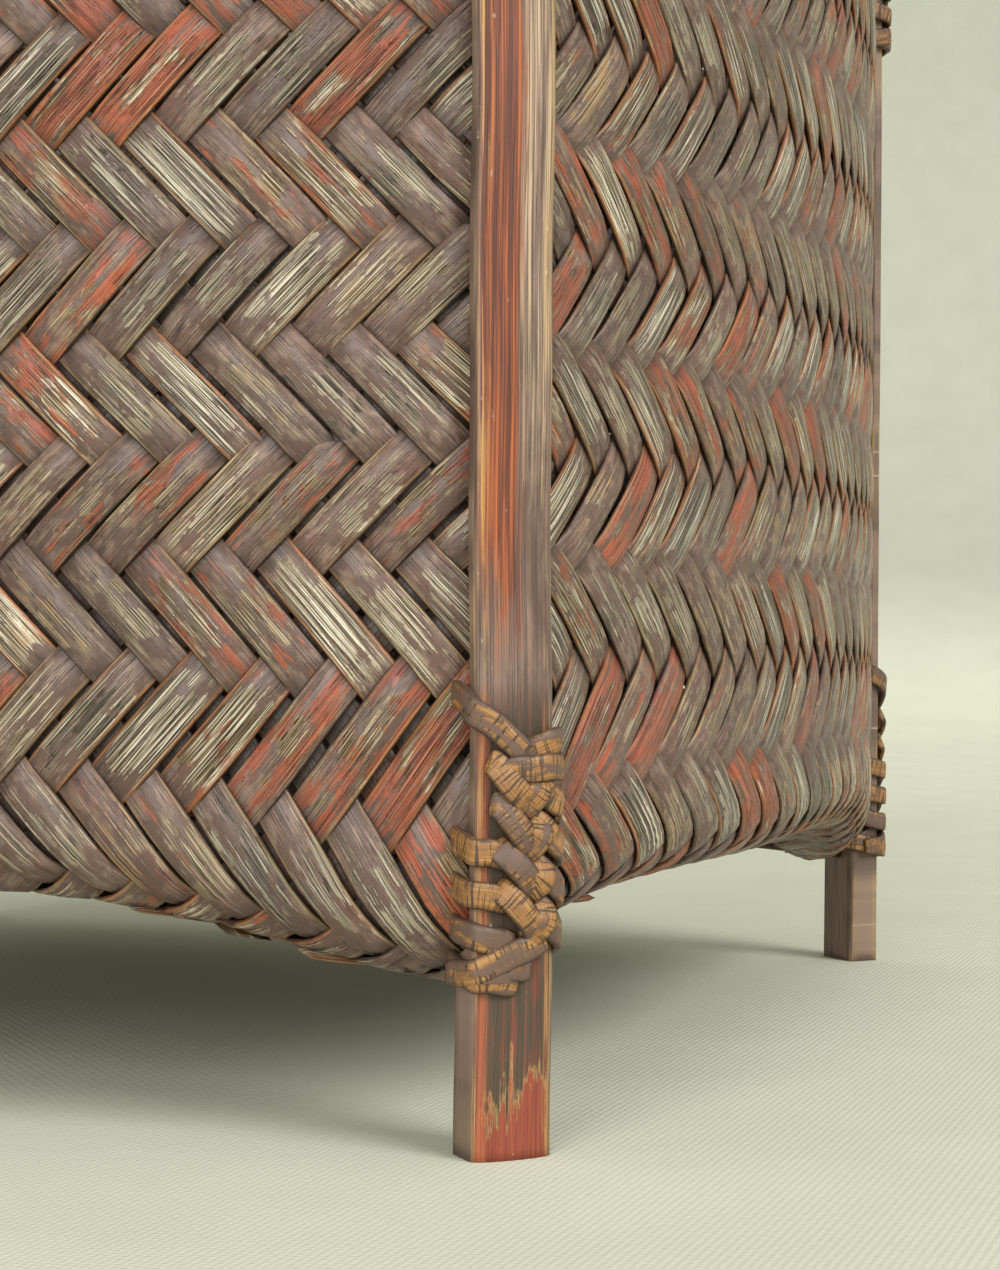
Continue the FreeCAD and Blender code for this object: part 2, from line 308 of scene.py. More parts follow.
class Finish:
    """A material made of nodes: a subclass lays its colours over each other."""

    name = "finish"

    def build(self) -> bpy.types.Material:
        """Make the material.

        Returns:
            The new material.
        """
        material = bpy.data.materials.new(self.name)
        material.use_nodes = True
        tree = Tree(material.node_tree)
        shader = material.node_tree.nodes["Principled BSDF"]
        self.tree, self.shader = tree, shader
        self.dress(tree)
        return material

    def dress(self, tree: Tree) -> None:
        """Fill in the tree; each finish has its own."""

    def over(self, base: Any, top: Lacquer, mask: Any) -> Value:
        """Lay a tone over a colour where a mask is 1."""
        return self.tree.node("ShaderNodeMix", {"Factor": mask, "A": base, "B": top.value.linear},
                              data_type="RGBA")[0]

    def between(self, mask: Any, low: Any, high: Any) -> Value:
        """Mix two tones or colours."""
        low, high = (one.value.linear if isinstance(one, Lacquer) else one for one in (low, high))
        return self.tree.node("ShaderNodeMix", {"Factor": mask, "A": low, "B": high},
                              data_type="RGBA")[0]

    def shade(self, colour: Value, amount: Any) -> Value:
        """Multiply a colour by a grey value."""
        grey = self.tree.node("ShaderNodeCombineColor", [amount, amount, amount])[0]
        return self.tree.node("ShaderNodeMix", {"Factor": 1.0, "A": colour, "B": grey},
                              data_type="RGBA", blend_type="MULTIPLY")[0]

    def read(self, name: str) -> Value:
        """A number stored on the piece."""
        made = self.tree.tree.nodes.new("ShaderNodeAttribute")
        made.attribute_name = name
        return Value(self.tree, made.outputs["Fac"])

    def finish(self, colour: Value, rough: Any, height: Value, depth: float,
               coat: float = 0.0) -> None:
        """Connect the surface.

        Args:
            colour: its base colour.
            rough: its roughness.
            height: what its bump follows, where 1 stands depth above 0.
            depth: that depth in metres.
            coat: how much clear lacquer lies over it.
        """
        links = self.tree.tree.links
        bump = self.tree.node("ShaderNodeBump",
                              {"Strength": 1.0, "Distance": depth, "Height": height})[0]
        links.new(colour.socket, self.shader.inputs["Base Color"])
        links.new(bump.socket, self.shader.inputs["Normal"])
        if isinstance(rough, Value):
            links.new(rough.socket, self.shader.inputs["Roughness"])
        else:
            self.shader.inputs["Roughness"].default_value = rough
        self.shader.inputs["Coat Weight"].default_value = coat
        self.shader.inputs["Coat Roughness"].default_value = 0.35


class SplintFinish(Finish):
    """Lacquered bamboo splints: smooth where they dive under, worn to the fibre on top of each float."""

    name = "splint_lacquer"
    repeat = 6.0
    row = 6.5
    half = 3.0

    def dress(self, tree: Tree) -> None:
        """Lay fibre, red ground and grey lacquer over each other along every float, with a painted
        highlight on each float's middle and painted shade at its ends and edges.
        """
        run, across = self.read("run"), self.read("across")
        splint, turn = self.read("splint"), self.read("turn")

        def streaks(stretch: float, spread: float, apart: float, step: float,
                    detail: float, rough: float) -> Value:
            """Noise drawn out along the splint and different on every float."""
            at = tree.vector(length * stretch, side * spread + splint * apart, number * step)
            return tree.noise(at, 1.0, detail, rough)

        floats = (run + turn * 3.0) / self.repeat
        number = (floats + 0.5).math("FLOOR")
        along = (floats - number) * 4.0
        luck = tree.chance(tree.vector(splint, number, turn))
        second = tree.chance(tree.vector(number, splint, turn + 7.0))
        length, side = run * self.row, across * self.half
        strand = streaks(0.035, 2.6, 17.3, 5.1, 3.0, 0.6)
        thread = streaks(0.07, 6.2, 7.7, 2.3, 2.0, 0.6)
        hair = streaks(0.05, 4.0, 5.9, 3.9, 1.0, 0.5)
        fibre = strand * 0.45 + thread * 0.55
        blotch = streaks(0.3, 0.5, 3.1, 2.7, 4.0, 0.6)
        patch = streaks(0.15, 0.55, 9.1, 4.4, 3.0, 0.6)
        scratch = (hair - 0.5).math("ABSOLUTE").step(0.03, 0.008) * blotch.step(0.36, 0.5)
        middle = 1.0 - (along * along).clamp()
        silver = luck.step(0.35, 0.85)
        wear = middle * 0.9 + silver * 0.5 + (fibre - 0.5) * 3.4 + (blotch - 0.5) * 3.2 - 0.86
        bare = wear.step(-0.05, 0.14)
        lacquer = self.between(blotch.step(0.4, 0.6), Lacquer.UMBER, Lacquer.MAUVE)
        stain = (patch - 0.5).step(0.05, 0.16) * strand.step(0.46, 0.56)
        lacquer = self.over(lacquer, Lacquer.DARK, stain * 0.75)
        tint = self.between(second.step(0.3, 0.8), Lacquer.SAGE, Lacquer.MOSS)
        wood = self.between(fibre.step(0.38, 0.56), Lacquer.OLIVE, tint)
        # Pale fibre is real; weighting it up towards the middle of each float paints a highlight on the
        # float's crown.
        paleness_and_highlight = (silver * 0.7 + 0.35) * (middle * 0.75 + 0.3)
        wood = self.over(wood, Lacquer.CREAM, fibre.step(0.48, 0.58) * paleness_and_highlight)
        wood = self.over(wood, Lacquer.DARK, thread.step(0.48, 0.41) * 0.95)
        gold = (second - 0.36).math("ABSOLUTE").step(0.1, 0.04) * blotch.step(0.42, 0.56)
        wood = self.over(wood, Lacquer.TAN, gold * strand.step(0.4, 0.56) * 0.6)
        wood = self.over(wood, Lacquer.DARK, second.step(0.24, 0.1) * strand.step(0.56, 0.46) * 0.75)
        colour = self.between(bare, lacquer, wood)
        ragged = ((patch - 0.5) * 3.0 + (fibre - 0.5) * 2.4 + (second - 0.84) * 1.6).step(0.0, 0.1)
        rusty = self.between(fibre.step(0.42, 0.56), Lacquer.RED, Lacquer.ORANGE)
        colour = self.between(ragged * second.step(0.55, 0.62) * 0.92, colour, rusty)
        colour = self.over(colour, Lacquer.DARK, scratch * (0.35 + bare * 0.5))
        rim = across.math("ABSOLUTE")
        edge = rim.step(0.8, 0.93) * (strand + luck * 0.5 - 0.62).step(0.0, 0.12)
        colour = self.over(colour, Lacquer.STRAW, edge * 0.35)
        colour = self.over(colour, Lacquer.COPPER, edge * luck.step(0.55, 0.7) * 0.6)
        # Painted shade: each float is darkened towards its ends, where it dives under the crossing splint.
        colour = self.over(colour, Lacquer.DARK, (along.math("ABSOLUTE").step(0.8, 1.2) * 0.8).clamp())
        # Painted shade: the outer edges of every splint are darkened, standing for the shadow in the gaps
        # between splints.
        colour = self.over(colour, Lacquer.DARK, rim.step(0.9, 1.0) * 0.8)
        third = tree.chance(tree.vector(number, turn + 3.0, splint))
        colour = self.shade(colour, 0.84 + third * 0.34)
        height = bare * (fibre - 0.5) * 2.4 + (1.0 - bare) * 0.4 - scratch * 0.5
        rough = 0.42 - bare * 0.08 + (blotch - 0.5) * 0.25
        self.finish(colour, rough, height, 0.26 * MM)


class LegFinish(Finish):
    """Lacquered split bamboo with long fine grain, rubbed through on its edges and bare at the foot."""

    name = "leg_lacquer"

    def dress(self, tree: Tree) -> None:
        """Grey-brown over red-brown, the grey right half and its pale streaks partly a painted reflection
        of the light; orange ground low down, straw where the edges are rubbed.
        """
        run, across, face = self.read("run"), self.read("across"), self.read("face")
        seed = self.read("splint")
        side, rise = across * 5.0, run * 1000.0
        grain = tree.noise(tree.vector(side * 1.5 + seed * 9.0, face * 3.0, rise * 0.02), 1.0, 3.0, 0.6)
        thread = tree.noise(tree.vector(side * 4.6, face + seed * 3.0, rise * 0.04), 1.0, 2.0, 0.6)
        fibre = grain * 0.55 + thread * 0.45
        blotch = tree.noise(tree.vector(side * 0.25, seed * 4.0 + face, rise * 0.05), 1.0, 5.0, 0.65)
        speck = tree.noise(tree.vector(side * 1.1, face + seed, rise * 0.5), 1.0, 3.0)
        hair = tree.noise(tree.vector(side * 3.0 + seed * 5.0, face * 2.0, rise * 0.02), 1.0, 1.0)
        scratch = (hair - 0.5).math("ABSOLUTE").step(0.03, 0.008)
        high = ((rise - 76.0) / 22.0 + (blotch - 0.5) * 3.0).clamp()
        grey = self.between(blotch.step(0.36, 0.6), Lacquer.UMBER, Lacquer.MAUVE)
        # Pale linen streaks growing up the face: partly worn fibre, partly a painted reflection of the
        # light on the face of the leg.
        grey = self.over(grey, Lacquer.LINEN, fibre.step(0.42, 0.62) * (high * 0.8 + 0.06) * face)
        warm = self.between(fibre.step(0.42, 0.64), Lacquer.RUST, Lacquer.COPPER)
        warm = self.over(warm, Lacquer.DARK, blotch.step(0.42, 0.3) * 0.5)
        grey = self.over(grey, Lacquer.LINEN, fibre.step(0.4, 0.66) * (1.0 - face) * 0.3)
        # Warm lacquer left on the left half of the face; the grey right half stands partly for a painted
        # reflection of the light on the rounded face.
        left = (0.16 - across * 1.6 + (grain - 0.5) * 1.2 + (blotch - 0.5) * 0.8).step(-0.2, 0.25)
        upper = ((rise - 64.0) / 12.0 + (blotch - 0.5) * 4.0).clamp()
        colour = self.between(left * upper * face, grey, warm)
        colour = self.over(colour, Lacquer.DARK, scratch * 0.45)
        low = ((60.0 - rise) / 5.0).clamp() * face
        green = self.between(fibre.step(0.48, 0.74), Lacquer.OLIVE, Lacquer.UMBER)
        colour = self.between(low * 0.95, colour, green)
        streak = (blotch - 0.5 + (grain - 0.5) * 1.4 + across * 0.06).step(0.02, 0.12)
        colour = self.over(colour, Lacquer.RED, low * streak * 0.55)
        line = rise - (7.0 + (blotch - 0.5) * 34.0 + (fibre - 0.5) * 16.0)
        colour = self.over(colour, Lacquer.STRAW, (1.0 - (line / 1.6).clamp()) * face * 0.7)
        ground = self.between(fibre.step(0.42, 0.74), Lacquer.RED, Lacquer.ORANGE)
        colour = self.between((0.5 - line).step(0.0, 0.8) * face, colour, ground)
        rub = self.read("edge")
        rubbed = rub * (fibre + blotch * 0.6 - 0.78).step(0.0, 0.14)
        colour = self.over(colour, Lacquer.ORANGE, rub * low * across.step(0.2, -0.2) * 0.85)
        colour = self.over(colour, Lacquer.STRAW, rubbed * 0.6)
        colour = self.over(colour, Lacquer.CREAM, speck.step(0.68, 0.76) * 0.35)
        height = fibre * 0.8 - scratch * 0.5 + speck.step(0.62, 0.75) * 0.3
        self.finish(colour, 0.5 + (grain - 0.5) * 0.5, height, 0.12 * MM)


class CaneFinish(Finish):
    """Split rattan: honey-coloured, cracked across, with patches of grey lacquer left on it."""

    name = "cane"

    def dress(self, tree: Tree) -> None:
        """Cracks across the cane, long grain, and lacquer where it wasn't rubbed away."""
        run, across, seed = self.read("run"), self.read("across"), self.read("splint")
        jitter = tree.noise(tree.vector(run * 900.0, across * 0.6, seed * 11.0), 1.0, 2.0)
        cracked = tree.vector(run * 2900.0 + (jitter - 0.5) * 1.6, across * 0.3, seed * 3.0)
        cracks = tree.noise(cracked, 1.0, 2.0)
        crack = cracks.step(0.47, 0.39)
        grain = tree.noise(tree.vector(run * 60.0, across * 5.0, seed * 5.0), 2.5, 4.0)
        patch = tree.noise(tree.vector(run * 210.0, across * 1.2, seed * 7.0), 1.0, 3.0)
        luck = tree.chance(tree.vector(seed, 2.0, 5.0))
        colour = self.between(grain.step(0.3, 0.7), Lacquer.HONEY, Lacquer.TAN)
        colour = self.over(colour, Lacquer.STRAW, grain.step(0.55, 0.75) * 0.5)
        colour = self.over(colour, Lacquer.DARK, crack * 0.85)
        left = (patch + luck * 0.24 - 0.6 + (grain - 0.5) * 0.3).step(0.0, 0.05)
        # Painted shade: the cane is darkened towards both of its sides, where its rounded section turns
        # away from the light.
        side = across.math("ABSOLUTE").step(0.66, 1.0)
        colour = self.over(colour, Lacquer.UMBER, left * 0.92)
        colour = self.over(colour, Lacquer.DARK, side * 0.7)
        height = grain * 0.3 - crack * (1.0 - left) * 0.8 + left * 0.5
        self.finish(colour, 0.42 + grain * 0.2, height, 0.1 * MM, coat=0.15)


class ClothFinish(Finish):
    """Pale grey-green cloth in a fine twill."""

    name = "table_cloth"

    def dress(self, tree: Tree) -> None:
        """Two sets of threads that cross, with a diagonal where one passes over the other."""
        place = tree.split(tree.node("ShaderNodeTexCoord")[3])
        pitch = 1.05 * MM
        warp = (place[0] * (math.tau / pitch)).math("SINE")
        weft = (place[1] * (math.tau / pitch)).math("SINE")
        twill = ((place[0] + place[1]) * (math.tau / (pitch * 2.0))).math("SINE")
        fuzz = tree.noise(tree.vector(*place), 900.0, 3.0)
        broad = tree.noise(tree.vector(*place), 30.0, 3.0)
        height = warp * 0.2 + weft * 0.2 + twill * 0.12 + fuzz * 0.6
        # Painted shade: the cloth is darkened as it rises into the backdrop, mostly over its first 0.14 m
        # of height.
        far = place[2].step(0.0, 0.14) * 0.4 + place[2].step(0.2, 0.7) * 0.04
        tone = (0.95 + height * 0.035 + (broad - 0.5) * 0.04) * (1.0 - far)
        pale = tree.node("ShaderNodeMix", {"Factor": broad, "A": Tone(206, 208, 186).linear,
                                           "B": Tone(216, 217, 196).linear}, data_type="RGBA")[0]
        self.finish(self.shade(pale, tone), 0.9, height, 0.1 * MM)


# ---------------------------------------------------------------- the form of the basket

@dataclass(frozen=True)
class Form:
    """The plan and the profile that the plaiting, the hoops and the binding follow."""

    span: float = 214 * MM
    bulge: float = 16 * MM
    base: float = 25 * MM
    rise: float = 207 * MM
    flare: float = 1.5 * MM
    corner: float = 16 * MM
    turn_under: float = 9 * MM
    arch: float = 8 * MM
    hang: float = 11.5 * MM
    hang_left: float = 38 * MM
    hang_right: float = 15 * MM
    wall: float = 3 * MM

    @property
    def top(self) -> float:
        """Height of the top of the wall."""
        return self.base + self.rise

    @property
    def arc(self) -> float:
        """Plan radius of a side at the base."""
        return (self.span ** 2 / 4 + self.bulge ** 2) / (2 * self.bulge)

    @property
    def centre(self) -> float:
        """Distance from the axis to the centre of that arc, on the far side."""
        return self.arc - self.span / 2 - self.bulge

    @property
    def underside(self) -> float:
        """Height of the middle of the base."""
        return self.base + self.arch

    def outward(self, height: float) -> float:
        """How far the wall has leaned out at a height."""
        return self.flare * (height - self.base) / self.rise

    def corner_reach(self, height: float) -> float:
        """Distance from the axis to the face of the wall's corner at a height."""
        inner = self.arc + self.outward(height) - self.corner
        pin = (math.sqrt(2 * inner ** 2 - self.centre ** 2) - self.centre) / 2
        return pin * math.sqrt(2) + self.corner

    @property
    def lean(self) -> float:
        """Lean of the corners and legs, as an angle."""
        return math.atan((self.corner_reach(self.top) - self.corner_reach(self.base)) / self.rise)

    def outline(self, offset: float, height: float, count: int) -> list[Vector]:
        """Even points round the plan, anticlockwise from the middle of the front right corner.

        Args:
            offset: how far outside the face of the wall they lie.
            height: their height.
            count: how many.

        Returns:
            The points.
        """
        big = self.arc + self.outward(height)
        pin = (math.sqrt(2 * (big - self.corner) ** 2 - self.centre ** 2) - self.centre) / 2
        tangent = math.atan2(pin, pin + self.centre)
        side, small = big + offset, self.corner + offset
        half_corner, half_side = small * (math.pi / 4 - tangent), side * tangent
        quarter = 2 * (half_corner + half_side)
        points = []
        for step in range(count):
            place = 4 * quarter * step / count
            number, rest = int(place // quarter), place % quarter
            if rest < half_corner:
                angle = -math.pi / 4 + rest / small
                local = Vector((pin + small * math.cos(angle), -pin + small * math.sin(angle), height))
            elif rest < half_corner + 2 * half_side:
                angle = -tangent + (rest - half_corner) / side
                local = Vector((side * math.cos(angle) - self.centre, side * math.sin(angle), height))
            else:
                angle = tangent + (rest - half_corner - 2 * half_side) / small
                local = Vector((pin + small * math.cos(angle), pin + small * math.sin(angle), height))
            points.append(Matrix.Rotation(number * math.pi / 2, 3, "Z") @ local)
        return points

    def perimeter(self, offset: float, height: float) -> float:
        """Length of the plan's outline."""
        points = self.outline(offset, height, 720)
        return sum((a - b).length for a, b in zip(points, points[1:] + points[:1]))


FORM = Form()


class Corner(Enum):
    """The four corners, by their turn about the axis in degrees."""

    FRONT_RIGHT = -45
    BACK_RIGHT = 45
    BACK_LEFT = 135
    FRONT_LEFT = 225

    @property
    def label(self) -> str:
        """The corner's part of a node's name."""
        return self.name.lower()

    def frame(self) -> Matrix:
        """From a corner's own axes (X out, Y to the right as seen from outside, Z up) to the basket's."""
        return (Matrix.Rotation(math.radians(self.value), 4, "Z")
                @ Matrix.Translation((FORM.corner_reach(FORM.base), 0, FORM.base))
                @ Matrix.Rotation(FORM.lean, 4, "Y"))


# ---------------------------------------------------------------- meshes

def piece_of(name: str, vertices: Sequence[Any], faces: Sequence[Sequence[int]],
             numbers: dict[str, list[float]], material: bpy.types.Material) -> bpy.types.Object:
    """Make a smooth mesh object in the scene.

    Args:
        name: the piece's name.
        vertices: its points.
        faces: its faces as indices.
        numbers: values stored on its points for the material, by name.
        material: its material.

    Returns:
        The object.
    """
    mesh = bpy.data.meshes.new(name)
    mesh.from_pydata([tuple(point) for point in vertices], [], faces)
    for label, values in numbers.items():
        mesh.attributes.new(label, "FLOAT", "POINT").data.foreach_set("value", values)
    mesh.polygons.foreach_set("use_smooth", [True] * len(mesh.polygons))
    mesh.materials.append(material)
    mesh.update()
    made = bpy.data.objects.new(name, mesh)
    bpy.context.collection.objects.link(made)
    return made


@dataclass
class Strand:
    """A flat strip of cane or bamboo that follows a path, crowned outside and flat inside."""

    width: float
    thick: float
    seed: float
    steps: int = 6
    across: int = 6

    def path(self, points: Sequence[Vector]) -> list[Vector]:
        """A smooth run of points through the given ones."""
        ends = [points[0] * 2 - points[1], *points, points[-1] * 2 - points[-2]]
        made = []
        for one in range(len(points) - 1):
            a, b, c, d = ends[one:one + 4]
            for step in range(self.steps):
                t = step / self.steps
                made.append(((b * 2) + (c - a) * t + (a * 2 - b * 5 + c * 4 - d) * t ** 2
                             + (b * 3 - a - c * 3 + d) * t ** 3) / 2)
        return [*made, points[-1].copy()]

    def sweep(self, points: Sequence[Vector], outward: Callable[[Vector], Vector],
              closed: bool = False) -> Swept:
        """Sweep the strip's section along a path.

        Args:
            points: the path's control points.
            outward: gives the direction that the crown faces, for a place on the path.
            closed: whether the path joins its own start.

        Returns:
            Vertices, faces and stored numbers.
        """
        line = list(points) if closed else self.path(points)
        count, ring = len(line), []
        for number in range(self.across + 1):
            s = math.sin(math.pi * (number / self.across - 0.5))
            ring.append((s, 0.5 - 0.4 * abs(s) ** 9))
        ring += [(0.94, -0.5), (0.0, -0.42), (-0.94, -0.5)]
        vertices, run, lateral = [], [], []
        travelled = 0.0
        for number, place in enumerate(line):
            after = line[(number + 1) % count] if closed else line[min(number + 1, count - 1)]
            before = line[number - 1] if closed else line[max(number - 1, 0)]
            along = (after - before).normalized()
            side = along.cross(outward(place)).normalized()
            up = side.cross(along)
            to_end = min(number, count - 1 - number)
            ease = 1.0 if closed else 0.82 + 0.18 * min(1.0, 3 * to_end / self.steps)
            travelled += (place - line[number - 1]).length if number else 0.0
            for s, lift in ring:
                vertices.append(place + side * (s * self.width / 2 * ease) + up * (lift * self.thick))
                run.append(travelled)
                lateral.append(max(-1.0, min(1.0, s)) if lift > -0.3 else s * 0.6)
        size = len(ring)
        faces = []
        for number in range(count if closed else count - 1):
            here, there = number * size, (number + 1) % count * size
            for k in range(size):
                m = (k + 1) % size
                faces.append((here + k, there + k, there + m, here + m))
        if not closed:
            faces.append(tuple(range(size)))
            faces.append(tuple(reversed(range((count - 1) * size, count * size))))
        return vertices, faces, {"run": run, "across": lateral, "splint": [self.seed] * len(vertices)}


class Bundle:
    """Several swept strips that make one piece."""

    def __init__(self) -> None:
        """Start empty."""
        self.vertices: list[Vector] = []
        self.faces: list[tuple[int, ...]] = []
        self.numbers: dict[str, list[float]] = {}

    def add(self, made: Swept) -> None:
        """Add one strip's mesh."""
        vertices, faces, numbers = made
        start = len(self.vertices)
        self.vertices += vertices
        self.faces += [tuple(start + index for index in face) for face in faces]
        for label, values in numbers.items():
            self.numbers.setdefault(label, []).extend(values)

    def piece(self, name: str, material: bpy.types.Material,
              place: Matrix = Matrix()) -> bpy.types.Object:
        """Make the object, with its place in its mesh."""
        vertices = [place @ point for point in self.vertices]
        return piece_of(name, vertices, self.faces, self.numbers, material)


def face_out(piece: bpy.types.Object) -> None:
    """Turn every closed shell of a mesh so that its faces point outwards."""
    shell = bmesh.new()
    shell.from_mesh(piece.data)
    bmesh.ops.recalc_face_normals(shell, faces=shell.faces)
    shell.to_mesh(piece.data)
    shell.free()


def own(piece: bpy.types.Object, slot: str, *nodes: str) -> None:
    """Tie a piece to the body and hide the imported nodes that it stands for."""
    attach(piece, BODY)
    if nodes:
        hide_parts(*nodes)
    log.info("%s: %d faces", piece.name, len(piece.data.polygons))


# ---------------------------------------------------------------- plaiting

class Lean(Enum):
    """The two sets of splints, by the way they climb as seen from outside."""

    RIGHT = 1
    LEFT = -1


class Sheet(Enum):
    """The two stretches of plaiting."""

    WALL = "wall"
    BASE = "base"


@dataclass
class Plaiting:
    """The splints of the wall and the base, in a 3/3 twill set at 45 degrees to the sides."""

    around: int = 96
    row: float = 27.3 / 6 * MM
    start: float = 0.6 * MM
    low: float = 20.5 * MM
    width: float = 6.1 * MM
    thick: float = 0.85 * MM
    lift: float = 0.72 * MM
    samples: int = 134
    seed: int = 5
    base_pitch: float = 6.5 * MM
    base_margin: float = 8 * MM
    base_sink: float = 10 * MM
    pulled: float = 76 * MM
    near_corner: float = 24 * MM
    finish: Finish = field(default_factory=SplintFinish)
    recipes: dict[Sheet, Recipe] = field(default_factory=dict)

    def recipe(self, sheet: Sheet) -> Recipe:
        """The Geometry Nodes tree that lays splints, on the wall or across the base.

        Args:
            sheet: which stretch it lays.

        Returns:
            The tree, with inputs for its sizes.
        """
        made = Recipe(f"lay_{sheet.value}", {
            "Splints": "Int", "First": "Int", "Samples": "Int", "Lean": "Float", "Row": "Float",
            "Start": "Float", "Top": "Float", "Low": "Float", "Width": "Float", "Thickness": "Float",
            "Lift": "Float", "Seed": "Float", "Plan": "Object", "Material": "Material"})
        tree, size = made.tree, made.size
        strip = tree.node("GeometryNodeMeshGrid", {"Size X": 1.0, "Size Y": 1.0, "Vertices Y": 9,
                                                   "Vertices X": size["Samples"]})[0]
        line = tree.node("GeometryNodeMeshLine",
                         {"Count": size["Splints"], "Offset": (0.0, 0.0, 0.0)})[0]
        copies = tree.node("GeometryNodeInstanceOnPoints", {"Points": line, "Instance": strip})[0]
        index = tree.node("GeometryNodeInputIndex")[0]
        copies = tree.node("GeometryNodeStoreNamedAttribute", {"Geometry": copies, "Name": "splint",
                           "Value": index + size["First"]}, domain="INSTANCE", data_type="FLOAT")[0]
        shape = tree.node("GeometryNodeRealizeInstances", [copies])[0]
        place = tree.split(tree.node("GeometryNodeInputPosition")[0])
        along, turn = place[0] + 0.5, (place[1] + 0.5) * math.tau
        number = tree.node("GeometryNodeInputNamedAttribute", {"Name": "splint"}, data_type="FLOAT")[0]
        wide, tall = turn.math("COSINE"), turn.math("SINE")
        across = wide.math("SIGN") * wide.math("ABSOLUTE").math("POWER", 0.32)
        crown = tall.math("SIGN") * tall.math("ABSOLUTE").math("POWER", 0.7)
        end = ((0.5 - (along - 0.5).math("ABSOLUTE")) * 60.0).lowest(1.0)
        luck = tree.chance(tree.vector(number, size["Lean"], size["Seed"])) - 0.5
        luck_wide = tree.chance(tree.vector(number, size["Seed"], size["Lean"] + 3.0)) - 0.5
        half = size["Width"] * 0.5 * (0.96 + luck_wide * 0.14)
        lay = self.on_wall if sheet is Sheet.WALL else self.on_base
        spot, up, level, count = lay(tree, size, along, number, across * half, luck)
        sway = ((count * (math.tau / 6)).math("COSINE") * size["Lean"])
        over = (sway * 2.4).math("TANH") * size["Lift"] + sway * 0.1 * MM
        height = over + crown * end * size["Thickness"] * 0.5
        height = height - (across * across) * sway.highest(0.0) * 0.12 * MM
        final = tree.vectors("ADD", spot, tree.scaled(up, height + level))
        for label, value in (("run", count), ("across", across), ("turn", (1.0 - size["Lean"]) * 0.5)):
            shape = tree.node("GeometryNodeStoreNamedAttribute", {"Geometry": shape, "Name": label,
                              "Value": value}, domain="POINT", data_type="FLOAT")[0]
        shape = tree.node("GeometryNodeSetPosition", {"Geometry": shape, "Position": final})[0]
        shape = tree.node("GeometryNodeMergeByDistance", {"Geometry": shape, "Distance": 0.03 * MM})[0]
        shape = tree.node("GeometryNodeSetShadeSmooth", {"Geometry": shape, "Shade Smooth": True})[0]
        shape = tree.node("GeometryNodeRealizeInstances", [shape])[0]
        shape = tree.node("GeometryNodeSetMaterial",
                          {"Geometry": shape, "Material": size["Material"]})[0]
        made.close(shape)
        return made

    def on_wall(self, tree: Tree, size: dict[str, Value], along: Value, number: Value, off: Value,
                luck: Value) -> tuple[Value, Value, Value, Value]:
        """Where a point of a splint lies on the wall.

        Args:
            tree: the tree to add to.
            size: its inputs.
            along: 0 to 1 from the top of the splint to its end.
            number: the splint's number round the basket.
            off: distance from the splint's middle line.
            luck: a random number for the splint.

        Returns:
            The place on the middle of the wall, the way out of it, an extra rise, and the row.
        """
        perimeter = FORM.perimeter(-FORM.wall / 2, 0.0)
        pitch = perimeter / self.around
        slope = math.atan2(2 * self.row, pitch)
        height = size["Top"] - along * (size["Top"] - size["Low"])
        count = (height - size["Start"]) / size["Row"]
        wander = tree.vector(along * 5.0, number * 3.7, size["Lean"] * 5.0 + size["Seed"])
        drift = tree.noise(wander, 1.0, 1.0)
        u = (number + size["Lean"] * count * 0.5 + luck * 0.045 + (drift - 0.5) * 0.09) * pitch
        u = u + off * math.sin(slope)
        v = height - size["Lean"] * off * math.cos(slope)
        ripple = tree.noise(tree.vector(u * 18.0, v * 18.0, size["Seed"]), 1.0, 1.0) - 0.5
        ripple_v = tree.noise(tree.vector(u * 18.0, v * 18.0, size["Seed"] + 9.0), 1.0, 1.0) - 0.5
        u, v = u + ripple * 2.2 * MM, v + ripple_v * 2.0 * MM
        share = (u / perimeter).math("FRACT")
        sampled = tree.node("GeometryNodeSampleCurve", {
            "Curves": tree.node("GeometryNodeObjectInfo", {"Object": size["Plan"]})[-1],
            "Factor": share}, mode="FACTOR", use_all_curves=True)
        middle, tangent = sampled[-3], sampled[-2]
        out = tree.vectors("NORMALIZE", tree.vectors("CROSS_PRODUCT", tangent, (0.0, 0.0, 1.0)))
        under = FORM.underside + FORM.turn_under
        bend = ((under - v) / FORM.turn_under).highest(0.0).lowest(math.pi / 2)
        past = (under - v - FORM.turn_under * math.pi / 2).highest(0.0)
        quarter = (share * 4.0 + 0.5).math("FRACT") - 0.5
        reach = quarter * (perimeter / 4)
        clear = (reach.math("ABSOLUTE") / self.near_corner).clamp() * 0.75 + 0.25
        inset = (1.0 - bend.math("COSINE")) * FORM.turn_under + past * clear
        z = v.highest(under) - bend.math("SINE") * FORM.turn_under
        left, right = (0.0 - reach).highest(0.0) / FORM.hang_left, reach.highest(0.0) / FORM.hang_right
        sink = (0.0 - left * left - right).math("EXPONENT") * FORM.hang
        pull = ((self.pulled - v) / (self.pulled - under)).clamp()
        z = z - sink * (pull * pull)
        lean = (v - FORM.base) * (FORM.flare / FORM.rise) - inset
        swell = (tree.noise(tree.vector(u * 14.0, v * 14.0, 3.0), 1.0, 1.0) - 0.5) * 1.2 * MM
        spot = tree.vectors("ADD", middle, tree.scaled(out, lean))
        spot = tree.vectors("ADD", spot, tree.vector(0.0, 0.0, z))
        flat = tree.scaled(out, bend.math("COSINE"))
        up = tree.vectors("ADD", flat, tree.vector(0.0, 0.0, bend.math("SINE") * -1.0))
        return spot, up, swell, count

